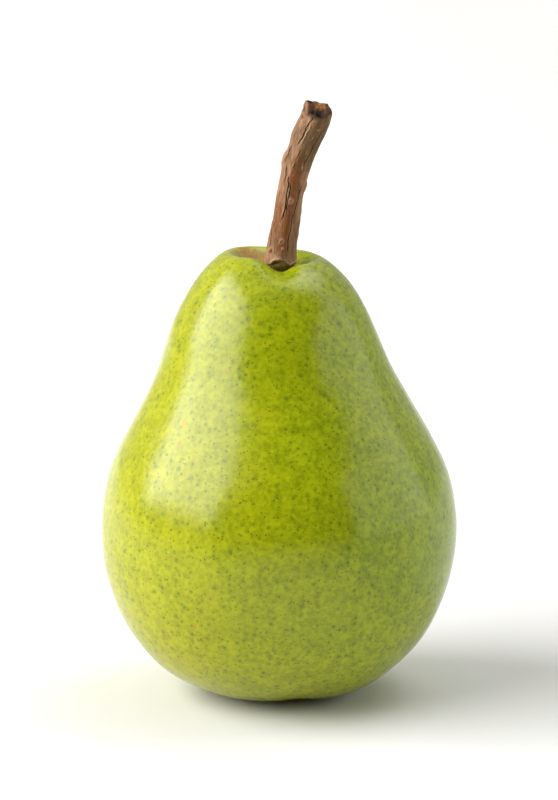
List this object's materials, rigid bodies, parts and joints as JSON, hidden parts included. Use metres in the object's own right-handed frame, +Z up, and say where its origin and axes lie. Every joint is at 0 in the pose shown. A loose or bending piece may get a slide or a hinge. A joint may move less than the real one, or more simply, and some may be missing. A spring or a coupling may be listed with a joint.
{
  "type": "pear",
  "caption": "Whole fresh green pear with a bent woody stem rooted in its crown and a dried flower in the basin of its base, standing on a small flat spot.",
  "frame": {"origin": "on the surface that the pear stands on, under the middle of its belly", "axes": "+Z up through the fruit towards the stem, +X the side that the stem leans to, -Y the front"},
  "size_m": [0.0704, 0.0704, 0.1168],
  "materials": {
    "pear_skin": "waxy satin green fruit skin with fine darker dots",
    "stem_bark": "rough cracked brown bark",
    "dried_flower": "dry matt brown"
  },
  "bodies": {
    "root": {"fruit": "pear_skin", "stem": "stem_bark", "sepal_1": "dried_flower", "sepal_2": "dried_flower", "sepal_3": "dried_flower", "sepal_4": "dried_flower", "sepal_5": "dried_flower", "stamen_tuft": "dried_flower"}
  },
  "joints": []
}
